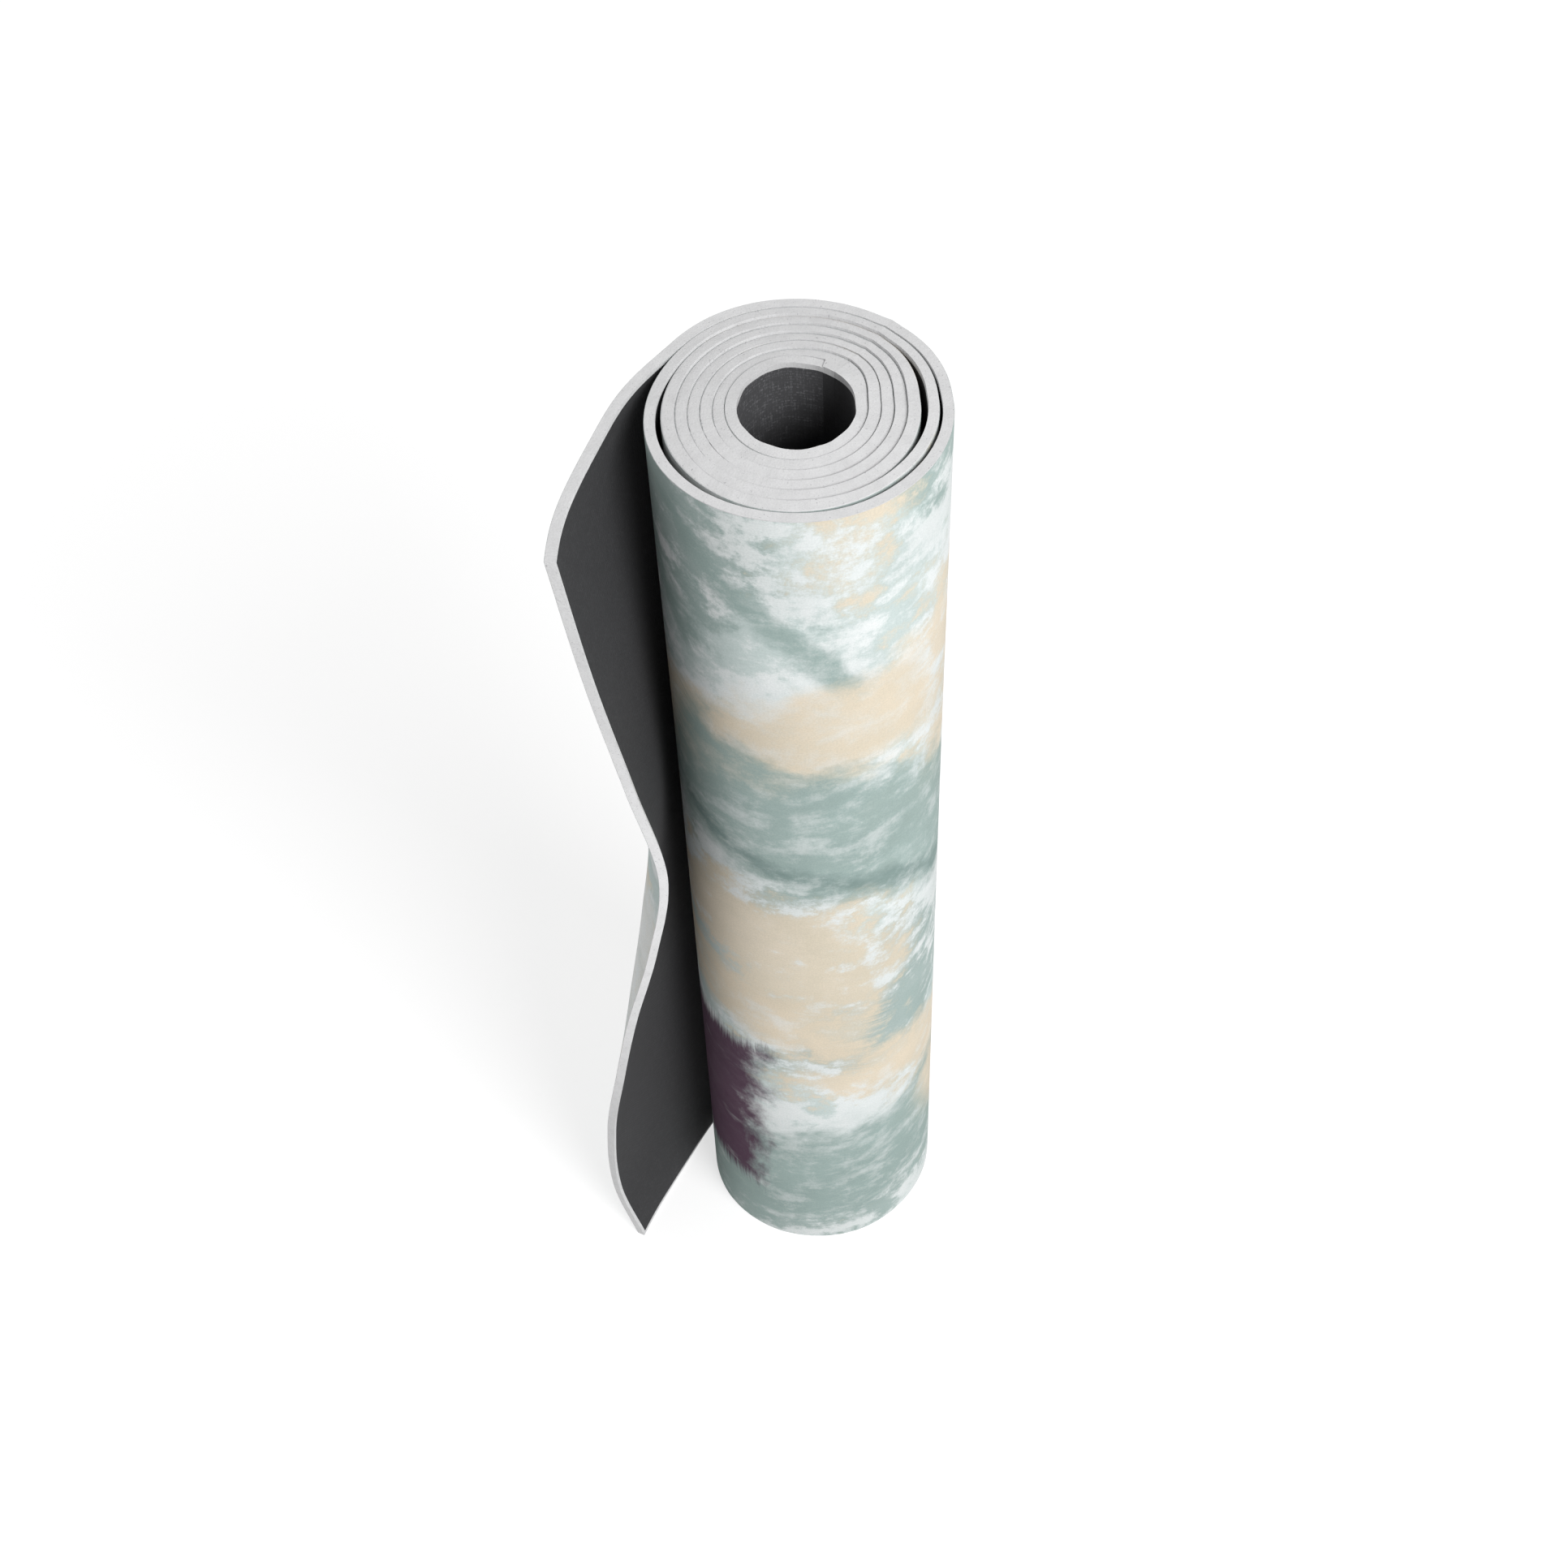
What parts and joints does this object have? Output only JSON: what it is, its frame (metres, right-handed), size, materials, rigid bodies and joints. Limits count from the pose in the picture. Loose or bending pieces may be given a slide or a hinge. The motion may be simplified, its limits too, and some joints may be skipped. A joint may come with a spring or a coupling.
{
  "type": "rolled yoga mat",
  "caption": "Rolled yoga mat standing on end: printed skin, foam core and woven backing, with a loose outer turn and a wavy free end.",
  "frame": {"origin": "middle of the box round the standing roll and its free end, on the floor", "axes": "+Z along the roll's axis, up; the free end leaves the roll on its -X side and points towards -Y"},
  "size_m": [0.1778, 0.1356, 0.61],
  "materials": {
    "printed_skin": "soft matt skin with a printed wash of pale grey-green, cream and plum",
    "foam_core": "matt light grey closed-cell foam with tiny dark specks",
    "woven_backing": "matt charcoal with a fine linen weave"
  },
  "bodies": {
    "roll": {"roll_print_skin": "printed_skin", "roll_foam_core": "foam_core", "roll_backing": "woven_backing"},
    "outer_turn_1": {"outer_turn_1_print_skin": "printed_skin", "outer_turn_1_foam_core": "foam_core", "outer_turn_1_backing": "woven_backing"},
    "outer_turn_2": {"outer_turn_2_print_skin": "printed_skin", "outer_turn_2_foam_core": "foam_core", "outer_turn_2_backing": "woven_backing"},
    "outer_turn_3": {"outer_turn_3_print_skin": "printed_skin", "outer_turn_3_foam_core": "foam_core", "outer_turn_3_backing": "woven_backing"},
    "outer_turn_4": {"outer_turn_4_print_skin": "printed_skin", "outer_turn_4_foam_core": "foam_core", "outer_turn_4_backing": "woven_backing"},
    "outer_turn_5": {"outer_turn_5_print_skin": "printed_skin", "outer_turn_5_foam_core": "foam_core", "outer_turn_5_backing": "woven_backing"},
    "outer_turn_6": {"outer_turn_6_print_skin": "printed_skin", "outer_turn_6_foam_core": "foam_core", "outer_turn_6_backing": "woven_backing"},
    "outer_turn_7": {"outer_turn_7_print_skin": "printed_skin", "outer_turn_7_foam_core": "foam_core", "outer_turn_7_backing": "woven_backing"},
    "outer_turn_8": {"outer_turn_8_print_skin": "printed_skin", "outer_turn_8_foam_core": "foam_core", "outer_turn_8_backing": "woven_backing"},
    "outer_turn_9": {"outer_turn_9_print_skin": "printed_skin", "outer_turn_9_foam_core": "foam_core", "outer_turn_9_backing": "woven_backing"},
    "outer_turn_10": {"outer_turn_10_print_skin": "printed_skin", "outer_turn_10_foam_core": "foam_core", "outer_turn_10_backing": "woven_backing"},
    "outer_turn_11": {"outer_turn_11_print_skin": "printed_skin", "outer_turn_11_foam_core": "foam_core", "outer_turn_11_backing": "woven_backing"},
    "outer_turn_12": {"outer_turn_12_print_skin": "printed_skin", "outer_turn_12_foam_core": "foam_core", "outer_turn_12_backing": "woven_backing"},
    "outer_turn_13": {"outer_turn_13_print_skin": "printed_skin", "outer_turn_13_foam_core": "foam_core", "outer_turn_13_backing": "woven_backing"},
    "outer_turn_14": {"outer_turn_14_print_skin": "printed_skin", "outer_turn_14_foam_core": "foam_core", "outer_turn_14_backing": "woven_backing"},
    "outer_turn_15": {"outer_turn_15_print_skin": "printed_skin", "outer_turn_15_foam_core": "foam_core", "outer_turn_15_backing": "woven_backing"},
    "outer_turn_16": {"outer_turn_16_print_skin": "printed_skin", "outer_turn_16_foam_core": "foam_core", "outer_turn_16_backing": "woven_backing"},
    "flap": {"flap_print_skin": "printed_skin", "flap_foam_core": "foam_core", "flap_backing": "woven_backing"}
  },
  "joints": [
    {"name": "unroll_1", "type": "hinge", "parent": "roll", "child": "outer_turn_1", "pos_m": [-0.01423, 0.04356, 0.305], "axis": [0, 0, -1], "range_deg": [0, 22.5]},
    {"name": "unroll_2", "type": "hinge", "parent": "outer_turn_1", "child": "outer_turn_2", "pos_m": [-0.02602, 0.02428, 0.305], "axis": [0, 0, -1], "range_deg": [0, 22.5]},
    {"name": "unroll_3", "type": "hinge", "parent": "outer_turn_2", "child": "outer_turn_3", "pos_m": [-0.03027, 0.00147, 0.305], "axis": [0, 0, -1], "range_deg": [0, 22.5]},
    {"name": "unroll_4", "type": "hinge", "parent": "outer_turn_3", "child": "outer_turn_4", "pos_m": [-0.02408, -0.02128, 0.305], "axis": [0, 0, -1], "range_deg": [0, 22.5]},
    {"name": "unroll_5", "type": "hinge", "parent": "outer_turn_4", "child": "outer_turn_5", "pos_m": [-0.00856, -0.03887, 0.305], "axis": [0, 0, -1], "range_deg": [0, 22.5]},
    {"name": "unroll_6", "type": "hinge", "parent": "outer_turn_5", "child": "outer_turn_6", "pos_m": [0.01218, -0.04883, 0.305], "axis": [0, 0, -1], "range_deg": [0, 22.5]},
    {"name": "unroll_7", "type": "hinge", "parent": "outer_turn_6", "child": "outer_turn_7", "pos_m": [0.03474, -0.05103, 0.305], "axis": [0, 0, -1], "range_deg": [0, 22.5]},
    {"name": "unroll_8", "type": "hinge", "parent": "outer_turn_7", "child": "outer_turn_8", "pos_m": [0.05654, -0.04487, 0.305], "axis": [0, 0, -1], "range_deg": [0, 22.5]},
    {"name": "unroll_9", "type": "hinge", "parent": "outer_turn_8", "child": "outer_turn_9", "pos_m": [0.07446, -0.03086, 0.305], "axis": [0, 0, -1], "range_deg": [0, 22.5]},
    {"name": "unroll_10", "type": "hinge", "parent": "outer_turn_9", "child": "outer_turn_10", "pos_m": [0.0862, -0.01111, 0.305], "axis": [0, 0, -1], "range_deg": [0, 22.5]},
    {"name": "unroll_11", "type": "hinge", "parent": "outer_turn_10", "child": "outer_turn_11", "pos_m": [0.0889, 0.01189, 0.305], "axis": [0, 0, -1], "range_deg": [0, 22.5]},
    {"name": "unroll_12", "type": "hinge", "parent": "outer_turn_11", "child": "outer_turn_12", "pos_m": [0.08347, 0.03471, 0.305], "axis": [0, 0, -1], "range_deg": [0, 22.5]},
    {"name": "unroll_13", "type": "hinge", "parent": "outer_turn_12", "child": "outer_turn_13", "pos_m": [0.06921, 0.05381, 0.305], "axis": [0, 0, -1], "range_deg": [0, 22.5]},
    {"name": "unroll_14", "type": "hinge", "parent": "outer_turn_13", "child": "outer_turn_14", "pos_m": [0.0481, 0.06511, 0.305], "axis": [0, 0, -1], "range_deg": [0, 22.5]},
    {"name": "unroll_15", "type": "hinge", "parent": "outer_turn_14", "child": "outer_turn_15", "pos_m": [0.02434, 0.06784, 0.305], "axis": [0, 0, -1], "range_deg": [0, 22.5]},
    {"name": "unroll_16", "type": "hinge", "parent": "outer_turn_15", "child": "outer_turn_16", "pos_m": [0.00124, 0.06136, 0.305], "axis": [0, 0, -1], "range_deg": [0, 22.5]},
    {"name": "flap_swing", "type": "hinge", "parent": "outer_turn_16", "child": "flap", "pos_m": [-0.01777, 0.04654, 0.305], "axis": [0, 0, -1], "range_deg": [-3, 60]}
  ],
  "couplings": [
    {"joint": "unroll_2", "follows": "unroll_1", "ratio": 1},
    {"joint": "unroll_3", "follows": "unroll_1", "ratio": 1},
    {"joint": "unroll_4", "follows": "unroll_1", "ratio": 1},
    {"joint": "unroll_5", "follows": "unroll_1", "ratio": 1},
    {"joint": "unroll_6", "follows": "unroll_1", "ratio": 1},
    {"joint": "unroll_7", "follows": "unroll_1", "ratio": 1},
    {"joint": "unroll_8", "follows": "unroll_1", "ratio": 1},
    {"joint": "unroll_9", "follows": "unroll_1", "ratio": 1},
    {"joint": "unroll_10", "follows": "unroll_1", "ratio": 1},
    {"joint": "unroll_11", "follows": "unroll_1", "ratio": 1},
    {"joint": "unroll_12", "follows": "unroll_1", "ratio": 1},
    {"joint": "unroll_13", "follows": "unroll_1", "ratio": 1},
    {"joint": "unroll_14", "follows": "unroll_1", "ratio": 1},
    {"joint": "unroll_15", "follows": "unroll_1", "ratio": 1},
    {"joint": "unroll_16", "follows": "unroll_1", "ratio": 1}
  ]
}
